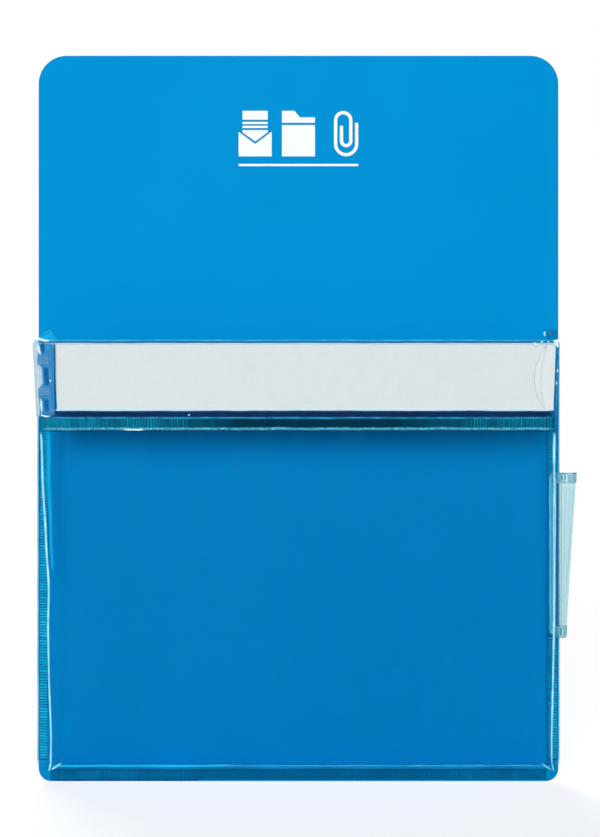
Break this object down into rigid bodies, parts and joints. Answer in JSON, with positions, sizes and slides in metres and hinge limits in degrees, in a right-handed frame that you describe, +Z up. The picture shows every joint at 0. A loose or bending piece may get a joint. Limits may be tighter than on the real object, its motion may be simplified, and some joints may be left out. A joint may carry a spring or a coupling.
{
  "type": "magnetic document pocket",
  "caption": "Wall-hung magnetic document pocket: blue back sheet, clear gusseted film pocket, label tube with a slide-in card, and a tapered pen sleeve.",
  "frame": {"origin": "centre of the middle magnetic strip's rear face, which lies against the wall", "axes": "+Y out of the rear towards the wall, +Z up the sheet's height, +X to the right as seen from the front"},
  "size_m": [0.2482, 0.0336, 0.335],
  "materials": {
    "blue_sheet": "satin",
    "magnetic_rubber": "matte",
    "adhesive_tape": "matte",
    "clear_film": "gloss",
    "card": "matte"
  },
  "bodies": {
    "back": {"back_sheet": "blue_sheet", "magnet_strip_top": "magnetic_rubber", "magnet_strip_middle": "magnetic_rubber", "magnet_strip_bottom": "magnetic_rubber", "adhesive_tape_top": "adhesive_tape", "adhesive_tape_middle": "adhesive_tape", "adhesive_tape_bottom": "adhesive_tape", "bottom_gusset": "clear_film", "side_gusset_left": "clear_film", "side_gusset_right": "clear_film", "pen_sleeve": "clear_film"},
    "pocket_front": {"front_panel": "clear_film"},
    "label_card": {"label_card": "card"}
  },
  "joints": [
    {"name": "pocket_opening", "type": "hinge", "parent": "back", "child": "pocket_front", "pos_m": [0, -0.00895, -0.1584], "axis": [-1, 0, 0], "range_deg": [0, 7.4], "deforming": ["side_gusset_left", "side_gusset_right"]},
    {"name": "label_card_slide", "type": "slide", "parent": "pocket_front", "child": "label_card", "axis": [1, 0, 0], "range_m": [0, 0.215]}
  ]
}
